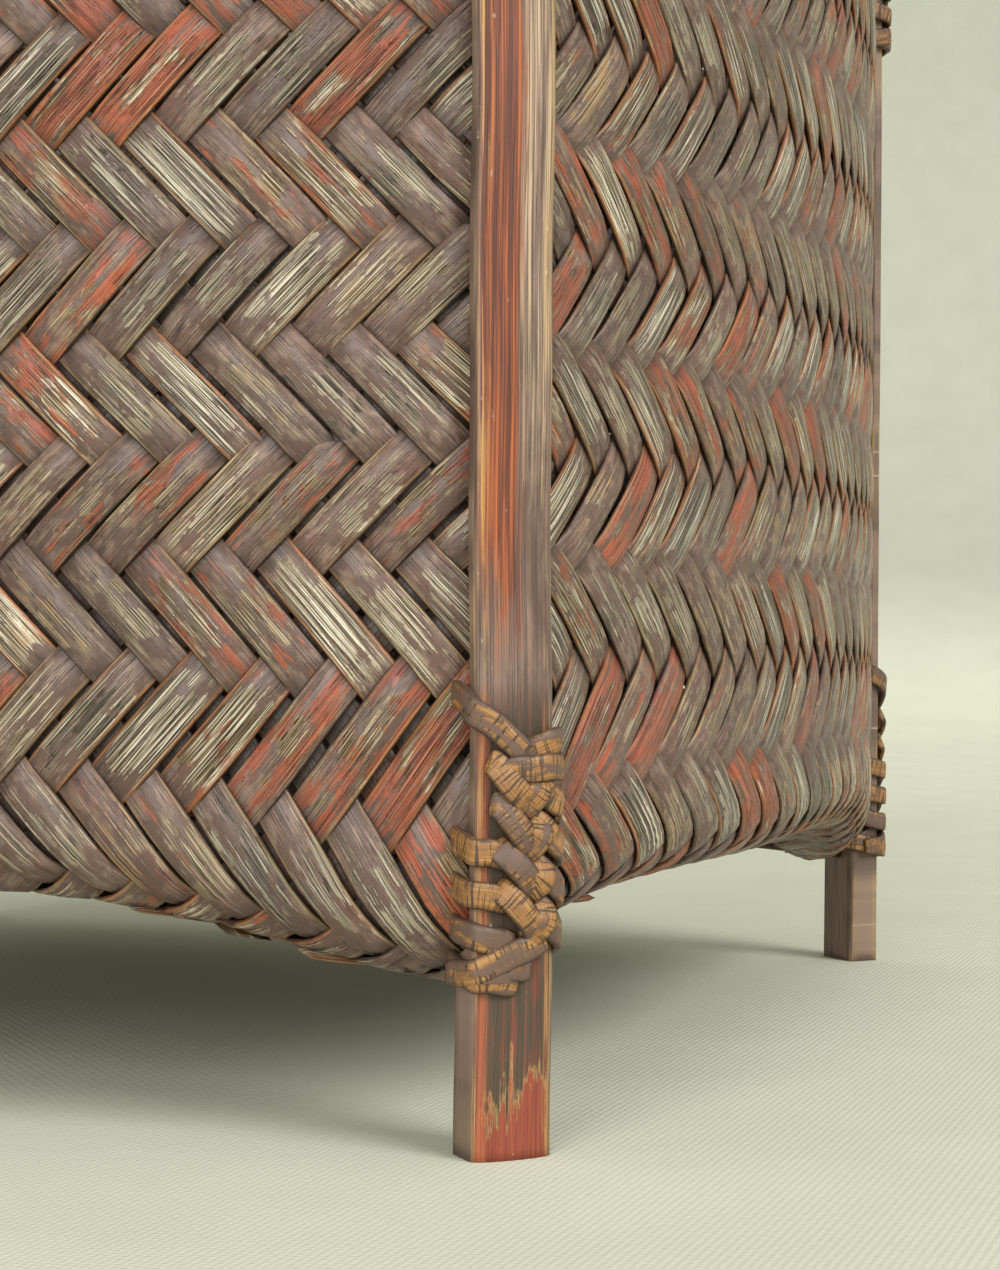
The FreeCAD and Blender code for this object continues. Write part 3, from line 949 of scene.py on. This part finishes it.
    def on_base(self, tree: Tree, size: dict[str, Value], along: Value, number: Value, off: Value,
                luck: Value) -> tuple[Value, Value, Value, Value]:
        """Where a point of a splint lies on the base; the arguments and result are as on the wall."""
        pitch = self.base_pitch
        middle = (number + luck * 0.06) * pitch
        curve = FORM.bulge / (FORM.span / 2) ** 2
        skew = middle.math("ABSOLUTE") * math.sqrt(2)
        slant = 1.0 - skew * (2 * curve)
        room = skew * skew * curve - (FORM.span / 2 + FORM.bulge - self.base_margin)
        edge = ((slant * slant - room * (4 * curve)).math("SQRT") - slant) / (2 * curve)
        half = edge * math.sqrt(2) - middle.math("ABSOLUTE")
        travel = (along * 2.0 - 1.0) * half
        count = travel / pitch - number * size["Lean"]
        beside = middle + off
        angle = math.pi / 4
        x = travel * math.cos(angle) - beside * size["Lean"] * math.sin(angle)
        y = travel * size["Lean"] * math.sin(angle) + beside * math.cos(angle)
        inner = FORM.span / 2 - self.base_sink
        beside_x = (inner - x.math("ABSOLUTE")).highest(0.0)
        beside_y = (inner - y.math("ABSOLUTE")).highest(0.0)
        turned = ((x * y).math("SIGN") + 1.0) * 0.5
        left = (beside_x * (1.0 - turned) + beside_y * turned) / FORM.hang_left
        right = (beside_y * (1.0 - turned) + beside_x * turned) / FORM.hang_right
        sink = (0.0 - left * left - right).math("EXPONENT") * FORM.hang
        z = 1.4 * MM + FORM.underside - sink
        spot = tree.vector(x, y, z)
        return spot, tree.vector(0.0, 0.0, -1.0), off * 0.0, count

    def lay(self, name: str, sheet: Sheet, lean: Lean, first: int, splints: int,
            plan: bpy.types.Object, material: bpy.types.Material) -> bpy.types.Object:
        """Lay one set of splints and turn it into a plain mesh.

        Args:
            name: the piece's name.
            sheet: wall or base.
            lean: which way the splints climb.
            first: number of the first splint.
            splints: how many.
            plan: the guide curve.
            material: their material.

        Returns:
            The piece.
        """
        return self.recipes[sheet].grow(name, {
            "Splints": splints, "First": first, "Lean": float(lean.value), "Row": self.row,
            "Start": self.start, "Top": FORM.top - 0.5 * MM, "Low": self.low, "Width": self.width,
            "Thickness": self.thick, "Lift": self.lift, "Seed": float(self.seed), "Plan": plan,
            "Material": material, "Samples": self.samples})

    def build(self) -> None:
        """Lay the wall in four pieces and the base in two."""
        plan = closed_guide("plan_guide", FORM.outline(-FORM.wall / 2, 0.0, 720))
        material = self.finish.build()
        self.recipes = {sheet: self.recipe(sheet) for sheet in Sheet}
        half = self.around // 2
        for lean in Lean:
            way = lean.name.lower()
            for part, first in (("front", 0), ("back", half)):
                made = self.lay(f"wall_splints_{way}_{part}", Sheet.WALL, lean, first, half,
                                plan, material)
                own(made, "lacquered_weave", "woven_body")
            reach = int(FORM.span / 2 * math.sqrt(2) / self.base_pitch) - 1
            made = self.lay(f"base_splints_{way}", Sheet.BASE, lean, -reach, 2 * reach + 1,
                            plan, material)
            own(made, "lacquered_weave", "woven_body")
        bpy.data.objects.remove(plan)


# ---------------------------------------------------------------- legs

@dataclass
class Leg:
    """A corner leg of split bamboo: a thick foot, and a strip cut back to lie on the wall."""

    corner: Corner
    width: float = 10.8 * MM
    foot: float = 7 * MM
    strip: float = 2.8 * MM
    crown: float = 0.55 * MM
    shoulder: float = 2 * MM
    gap: float = 12.3 * MM
    cut: float = 0.85 * MM
    slope: float = 2 * MM
    let_in: float = 0.15 * MM
    rows: int = 150
    material: Any = None

    def section(self, height: float) -> list[tuple[float, float, float, float]]:
        """One level of the leg in the corner's axes.

        Args:
            height: above the base corner.

        Returns:
            Points as (x, y, whether on the front face, whether on an edge), anticlockwise.
        """
        blend = min(1.0, max(0.0, (height - self.shoulder + self.slope) / self.slope))
        back = -self.let_in
        if height < self.shoulder:
            back = -(self.foot - self.strip) * (1 - blend)
        half = self.width / 2
        front, cut = self.strip, self.cut
        ring: list[tuple[float, float, float, float]] = []
        for k in range(9):
            s = -1 + 2 * k / 8
            ring.append((front - self.crown * s * s, s * (half - cut), 1.0, 1.0 if k in (0, 8) else 0.0))
        depth = front - back - self.crown
        for k in range(5):
            t = k / 4
            ring.append((front - self.crown - cut * 0.7 - (depth - cut * 1.1) * t, half, 0.0,
                         1.0 if k in (0, 4) else 0.0))
        for k in range(5):
            s = 1 - 2 * k / 4
            ring.append((back, s * (half - cut * 0.6), 0.0, 1.0 if k in (0, 4) else 0.0))
        for k in range(5):
            t = 1 - k / 4
            ring.append((front - self.crown - cut * 0.7 - (depth - cut * 1.1) * t, -half, 0.0,
                         1.0 if k in (0, 4) else 0.0))
        return ring

    def build(self) -> None:
        """Skin the levels from the floor to the hoop."""
        rng = random.Random(self.corner.value + 400)
        low, high = -FORM.base, FORM.rise - self.gap
        frame = self.corner.frame()
        phase = rng.uniform(0, 6)
        vertices, run, lateral, face, edge = [], [], [], [], []
        levels = [low + (high - low) * k / (self.rows - 1) for k in range(self.rows)]
        levels += [self.shoulder - 0.05 * MM, self.shoulder + 0.05 * MM]
        for height in sorted(levels):
            wave = (0.12 * MM * math.sin(height * 60 + phase)
                    + 0.07 * MM * math.sin(height * 170 + phase * 2))
            slim = 1 + 0.012 * math.sin(height * 45 + phase * 3)
            for x, y, on_face, on_edge in self.section(height):
                local = Vector((x + wave * 0.4, y * slim + wave, height))
                place = frame @ local
                if height <= low + 1e-6:
                    place.z = 0.0
                vertices.append(place)
                run.append(height - low)
                lateral.append(y / self.width * 2)
                face.append(on_face)
                edge.append(on_edge)
        size, count = 24, self.rows + 2
        faces = []
        for level in range(count - 1):
            for k in range(size):
                a, b = level * size + k, level * size + (k + 1) % size
                faces.append((a, b, b + size, a + size))
        faces.append(tuple(reversed(range(size))))
        faces.append(tuple(range((count - 1) * size, count * size)))
        numbers = {"run": run, "across": lateral, "face": face, "edge": edge,
                   "splint": [float(self.corner.value % 7)] * len(vertices)}
        made = piece_of(f"leg_{self.corner.label}", vertices, faces, numbers, self.material)
        face_out(made)
        own(made, "leg_bamboo", f"leg_{self.corner.label}")


# ---------------------------------------------------------------- lashings

@dataclass
class Lashing:
    """Split cane braided down the face of a leg, each turn passing through the wall behind it."""

    corner: Corner
    where: str
    top: float
    turns: int = 4
    pitch: float = 5.25 * MM
    width: float = 3.5 * MM
    thick: float = 0.95 * MM
    half: float = 5.4 * MM
    front: float = 2.8 * MM
    reach: float = 5.6 * MM
    material: Any = None

    def outward(self, place: Vector) -> Vector:
        """The way the crown of the cane faces at a place in the corner's axes."""
        x = (place.x - (self.front - self.reach) / 2) / ((self.front + self.reach) / 2 + 0.6 * MM)
        y = place.y / (self.half + 0.6 * MM)
        out = Vector((math.copysign(abs(x) ** 3, x), math.copysign(abs(y) ** 3, y), 0.0))
        return out.normalized() if out.length > 1e-6 else Vector((1.0, 0.0, 0.0))

    def strand(self, seed: float, points: Sequence[Point], level: float) -> Swept:
        """Sweep one strip of cane through points given in millimetres from a level of the leg."""
        wider = self.half / (5.0 * MM)
        path = [Vector((x * MM + self.front, y * MM * wider, level + z * MM)) for x, y, z in points]
        return Strand(self.width, self.thick, seed).sweep(path, self.outward)

    def behind(self, drop: float) -> list[Point]:
        """The way round the back of the leg, from the right side to the left."""
        back = -(self.front + self.reach) / MM
        return [(-1.2, 5.75, -0.1 * drop), (-4.5, 5.8, -0.3 * drop), (back, 4.6, -0.45 * drop),
                (back - 0.3, 0.0, -0.55 * drop), (back, -4.6, -0.65 * drop), (-4.5, -5.8, -0.8 * drop),
                (-1.2, -5.75, -0.92 * drop)]

    def build(self) -> None:
        """Lay the top strips, the braided turns and the tail."""
        rng = random.Random(f"{self.where}{self.corner.value}")
        bundle = Bundle()
        seed = rng.uniform(0, 50)

        def lay(points: Sequence[Point], level: float) -> None:
            """Add a strip whose points are shaken a little, as hand work is."""
            nonlocal seed
            seed += 1.7
            shaken = [(x + rng.uniform(0.0, 0.12), y + rng.uniform(-0.18, 0.18),
                       z + rng.uniform(-0.22, 0.22)) for x, y, z in points]
            bundle.add(self.strand(seed, shaken, level))

        top = self.top - FORM.base
        lay([(-6.0, -5.9, 2.4), (-2.2, -6.0, 1.2), (0.1, -5.3, -0.4), (0.9, -3.4, -2.0),
             (1.25, -1.0, -4.2), (1.1, 0.9, -6.1), (0.5, 2.0, -7.4)], top)
        lay([(0.5, 0.7, -5.9), (1.0, 2.4, -4.9), (0.9, 4.2, -4.1), (0.1, 5.4, -3.9),
             *[(x, y, z - 4.2) for x, y, z in self.behind(2.0)][:4]], top)
        lay([(0.7, -2.6, -8.6), (1.7, -1.2, -7.6), (1.8, 1.4, -7.3), (1.7, 3.6, -7.2), (0.2, 5.5, -7.3),
             *[(x, y, z - 7.4) for x, y, z in self.behind(2.0)][:4]], top)
        for turn in range(self.turns):
            level = top - 8.2 * MM - turn * self.pitch
            drift = min(1.2, turn * 0.32)
            lay([(0.2, 0.4 + drift, 0.0), (1.0, 2.2 + drift * 0.6, -1.2), (0.95, 4.2, -3.0),
                 (0.0, 5.5, -4.2), *[(x, y, z - 4.4) for x, y, z in self.behind(self.pitch / MM)],
                 (0.2, -5.3, -4.4 - self.pitch / MM), (0.75, -3.6, -4.5 - self.pitch / MM),
                 (0.35, -1.2 + drift, -5.2 - self.pitch / MM)], level)
            lay([(0.1, -3.6 + drift, 1.9), (1.25, -2.9 + drift, 1.2), (1.95, -1.3 + drift, -0.9),
                 (1.75, 0.3 + drift, -3.0), (0.7, 1.1 + drift, -4.4)], level)
            lay([(0.5, -0.1 + drift, -4.6), (1.5, 1.0 + drift, -3.7), (1.9, 1.9 + drift, -2.2),
                 (0.9, 2.2 + drift, -0.4)], level)
        last = top - 8.2 * MM - self.turns * self.pitch
        lay([(0.6, 3.2, 0.4), (1.1, 0.6, -0.8), (0.9, -2.2, -2.0), (0.4, -4.9, -3.1), (-1.2, -6.0, -3.6),
             (-5.0, -6.6, -4.0)], last)
        lay([(0.2, -2.0, -2.9), (0.75, -0.6, -3.0), (0.35, 1.3, -3.2)], last)
        made = bundle.piece(f"{self.where}_lashing_{self.corner.label}", self.material, self.corner.frame())
        face_out(made)
        own(made, "cane", f"{self.where}_lashing_{self.corner.label}")


# ---------------------------------------------------------------- rim and stays

@dataclass
class Rim:
    """Two bamboo hoops, a cane that closes the top between them, and the cane binding round all."""

    height: float = 12 * MM
    thick: float = 3 * MM
    cap: float = 3 * MM
    wraps: int = 156
    wrap_width: float = 3.0 * MM
    wrap_thick: float = 0.9 * MM
    hoop_finish: Any = None
    cane: Any = None

    def hoop(self, name: str, offset: float, rounding: float) -> None:
        """A hoop whose section is a flat bamboo strip with rubbed edges.

        Args:
            name: the node that it stands for.
            offset: from the face of the wall to the middle of the strip.
            rounding: radius of its edges.
        """
        count, middle = 360, FORM.top - self.height / 2
        section = []
        half_x, half_z = self.thick / 2 - 0.05 * MM, self.height / 2
        for quarter, (sx, sz) in enumerate([(1, 1), (-1, 1), (-1, -1), (1, -1)]):
            for k in range(4):
                angle = (quarter + k / 3) * math.pi / 2
                section.append((sx * (half_x - rounding) + rounding * math.cos(angle),
                                sz * (half_z - rounding) + rounding * math.sin(angle)))
        vertices, run, lateral, face, edge = [], [], [], [], []
        rings = [FORM.outline(offset + x, middle + z, count) for x, z in section]
        for step in range(count):
            for (x, z), ring in zip(section, rings):
                vertices.append(ring[step])
                run.append(step * 2.5 * MM)
                lateral.append(z / half_z)
                face.append(1.0)
                edge.append(1.0 if abs(z) > half_z - rounding * 1.4 else 0.0)
        size, faces = len(section), []
        for step in range(count):
            for k in range(size):
                a, b = step * size, (step + 1) % count * size
                m = (k + 1) % size
                faces.append((a + k, a + m, b + m, b + k))
        numbers = {"run": run, "across": lateral, "face": face, "edge": edge,
                   "splint": [3.0 + offset * 500] * len(vertices)}
        made = piece_of(name, vertices, faces, numbers, self.hoop_finish)
        face_out(made)
        own(made, "lacquered_bamboo", name)

    def top_cane(self) -> None:
        """The cane over the top edge of the wall."""
        wide = FORM.wall + 2 * self.thick - 1 * MM
        offset = -FORM.wall / 2
        line = FORM.outline(offset, FORM.top + self.cap / 2 - 0.1 * MM, 360)
        cane = Strand(wide, self.cap * 0.95, 4.0, across=8)
        bundle = Bundle()
        bundle.add(cane.sweep(line, lambda place: Vector((0, 0, 1)), True))
        piece = bundle.piece("rim_cap", self.cane)
        face_out(piece)
        own(piece, "cane", "rim_cap")

    def binding(self) -> None:
        """Slanted wraps of cane, set evenly round the plan by Geometry Nodes."""
        wide = FORM.wall / 2 + self.thick + self.wrap_thick * 0.55
        low, high = -self.height - self.wrap_thick * 0.5, self.cap + self.wrap_thick * 0.4
        corners = [(wide, low), (wide, high), (-wide, high), (-wide, low)]
        loop, bend = [], 1.3 * MM
        for number, (x, z) in enumerate(corners):
            for k in range(3):
                angle = math.pi / 2 * (number - 1 + k / 2)
                inward = math.copysign(bend, z - (low + high) / 2)
                loop.append(Vector((x - math.copysign(bend, x) + bend * math.cos(angle), 0.0,
                                    z - inward + bend * math.sin(angle))))
        slant = 3.1 * MM
        path = []
        for number, point in enumerate(loop):
            follow = loop[(number + 1) % len(loop)]
            for k in range(2):
                spot = point.lerp(follow, k / 2)
                spot.y = slant * (0.5 if spot.x < 0 else -0.5) * (1 - abs(abs(spot.x) - wide) / wide)
                path.append(spot)
        centre = Vector((0, 0, (low + high) / 2))
        bundle = Bundle()
        bundle.add(Strand(self.wrap_width, self.wrap_thick, 1.0).sweep(
            path, lambda place: Vector((place.x, 0, (place - centre).z * 0.6)), True))
        wrap = bundle.piece("wrap_blank", self.cane)
        face_out(wrap)
        guide = closed_guide("rim_guide", FORM.outline(-FORM.wall / 2, FORM.top, 720))
        made = self.wrapped(guide, wrap)
        for scrap in (wrap, guide):
            bpy.data.objects.remove(scrap)
        own(made, "cane", "rim_binding")

    def wrapped(self, guide: bpy.types.Object, wrap: bpy.types.Object) -> bpy.types.Object:
        """Set copies of a wrap along the guide.

        Args:
            guide: the closed curve.
            wrap: one wrap round the origin.

        Returns:
            The binding as a plain mesh.
        """
        recipe = Recipe("bind_rim", {"Guide": "Object", "Wrap": "Object", "Wraps": "Int",
                                     "Seed": "Int", "Material": "Material"})
        tree, size = recipe.tree, recipe.size
        curve = tree.node("GeometryNodeObjectInfo", {"Object": size["Guide"]})[-1]
        spots = tree.node("GeometryNodeCurveToPoints", {"Curve": curve, "Count": size["Wraps"]},
                          mode="COUNT")
        turn = tree.node("FunctionNodeAlignRotationToVector", {"Vector": spots[1]}, axis="Y",
                         pivot_axis="Z")[0]
        shape = tree.node("GeometryNodeObjectInfo", {"Object": size["Wrap"]})[-1]
        grow = tree.node("FunctionNodeRandomValue", {
            "Min": (0.985, 0.9, 0.99), "Max": (1.02, 1.08, 1.012), "Seed": size["Seed"]},
            data_type="FLOAT_VECTOR")[0]
        copies = tree.node("GeometryNodeInstanceOnPoints", {
            "Points": spots[0], "Instance": shape, "Rotation": turn, "Scale": grow})[0]
        index = tree.node("GeometryNodeInputIndex")[0]
        copies = tree.node("GeometryNodeStoreNamedAttribute", {
            "Geometry": copies, "Name": "splint", "Value": index * 1.37}, domain="INSTANCE",
            data_type="FLOAT")[0]
        whole = tree.node("GeometryNodeRealizeInstances", [copies])[0]
        whole = tree.node("GeometryNodeSetMaterial",
                          {"Geometry": whole, "Material": size["Material"]})[0]
        recipe.close(whole)
        return recipe.grow("rim_binding", {"Guide": guide, "Wrap": wrap, "Wraps": self.wraps,
                                           "Seed": 3, "Material": self.cane})

    def build(self) -> None:
        """Make the four pieces of the rim."""
        self.hoop("rim_outer_hoop", self.thick / 2, 0.8 * MM)
        self.hoop("rim_inner_hoop", -FORM.wall - self.thick / 2, 0.8 * MM)
        self.top_cane()
        self.binding()


@dataclass
class Stay:
    """A bowed cane stay on a diagonal under the base, held behind two feet by their lashings."""

    name: str
    corner: Corner
    crest: float
    width: float = 3.4 * MM
    thick: float = 1.3 * MM
    level: float = 21.3 * MM
    foot: float = 4.2 * MM
    material: Any = None

    def build(self) -> None:
        """Lay the bowed strip from foot to foot."""
        reach = FORM.corner_reach(FORM.base) - self.foot
        bow = [Vector((x * reach, 0.3 * MM * math.sin(x * 9), self.level + (self.crest - self.level)
                       * (1 - x * x))) for x in (-1 + k / 8 for k in range(17))]
        bundle = Bundle()
        bundle.add(Strand(self.width, self.thick, 2.0).sweep(bow, lambda place: Vector((0, 0, -1))))
        turned = Matrix.Rotation(math.radians(self.corner.value), 4, "Z")
        made = bundle.piece(self.name, self.material, turned)
        face_out(made)
        own(made, "cane", self.name)


# ---------------------------------------------------------------- stage

@dataclass
class Stage:
    """The cloth, the backdrop, the lights and the camera."""

    distance: float = 312.5 * MM
    eye: float = 65 * MM
    turned: float = 25.0
    beside: float = 2 * MM
    lens: float = 70.9
    image: tuple[int, int] = (1000, 1269)
    horizon: float = 6.5

    def cloth(self) -> None:
        """A wide sheet of cloth that curves up into the backdrop far behind."""
        heading = math.radians(Corner.FRONT_RIGHT.value - self.turned)
        back = Vector((-math.cos(heading), -math.sin(heading), 0))
        side = Vector((-back.y, back.x, 0))
        profile = [(-9.0, 0.0), (1.1, 0.0)]
        profile += [(1.1 + 0.9 * math.sin(k * math.pi / 24), 0.9 - 0.9 * math.cos(k * math.pi / 24))
                    for k in range(1, 13)]
        profile += [(2.0, 3.5)]
        vertices = [back * depth + side * wide + Vector((0, 0, height))
                    for wide in (-4.0, 4.0) for depth, height in profile]
        count = len(profile)
        faces = [(k, k + count, k + count + 1, k + 1) for k in range(count - 1)]
        made = piece_of("cloth", vertices, faces, {}, ClothFinish().build())

    def sun(self, name: str, azimuth: float, height: float, strength: float, softness: float) -> None:
        """A distant soft light.

        Args:
            name: its name.
            azimuth: where it stands, in degrees about the axis.
            height: how high it stands, in degrees.
            strength: how strong it is.
            softness: how wide it looks from the basket, in degrees.
        """
        light = bpy.data.lights.new(name, "SUN")
        light.energy, light.angle = strength, math.radians(softness)
        made = bpy.data.objects.new(name, light)
        made.rotation_euler = (math.radians(90 - height), 0, math.radians(azimuth + 90))
        bpy.context.collection.objects.link(made)

    def build(self) -> None:
        """Set the stage."""
        self.cloth()
        heading = math.radians(Corner.FRONT_RIGHT.value)
        leg = Vector((math.cos(heading), math.sin(heading), 0)) * (FORM.corner_reach(FORM.base) + 2.8 * MM)
        view = heading - math.radians(self.turned)
        back = Vector((math.cos(view), math.sin(view), 0))
        right = Vector((-back.y, back.x, 0))
        camera = bpy.data.objects.new("camera", bpy.data.cameras.new("camera"))
        camera.location = leg + back * self.distance - right * self.beside + Vector((0, 0, self.eye))
        camera.rotation_euler = (math.pi / 2, 0, view + math.pi / 2)
        camera.data.lens = self.lens
        camera.data.clip_start = 0.01
        camera.data.shift_y = self.horizon / self.image[1]
        bpy.context.collection.objects.link(camera)
        bpy.context.scene.camera = camera
        self.sun("key", -24.0, 34.0, 2.15, 28.0)
        self.sun("fill", -90.0, 20.0, 1.65, 32.0)
        world = bpy.data.worlds.new("room")
        world.use_nodes = True
        room = world.node_tree.nodes["Background"].inputs
        room["Color"].default_value = (0.93, 0.94, 0.92, 1)
        room["Strength"].default_value = 0.62
        bpy.context.scene.world = world
        bpy.context.scene.view_settings.view_transform = "Standard"


def main() -> None:
    """Build the basket piece by piece, then the stage, and note the sizes."""
    logging.basicConfig(level=logging.INFO, format="%(message)s")
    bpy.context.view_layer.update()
    Stage().build()
    Plaiting().build()
    leg, cane = LegFinish().build(), CaneFinish().build()
    for corner in Corner:
        Leg(corner, material=leg).build()
        Lashing(corner, "foot", 56.5 * MM, material=cane).build()
        Lashing(corner, "rim", 220.5 * MM, material=cane).build()
    Rim(hoop_finish=leg, cane=cane).build()
    Stay("base_stay_upper", Corner.BACK_RIGHT, 32.2 * MM, material=cane).build()
    Stay("base_stay_lower", Corner.BACK_LEFT, 30.8 * MM, material=cane).build()


if __name__ == "__main__":
    main()
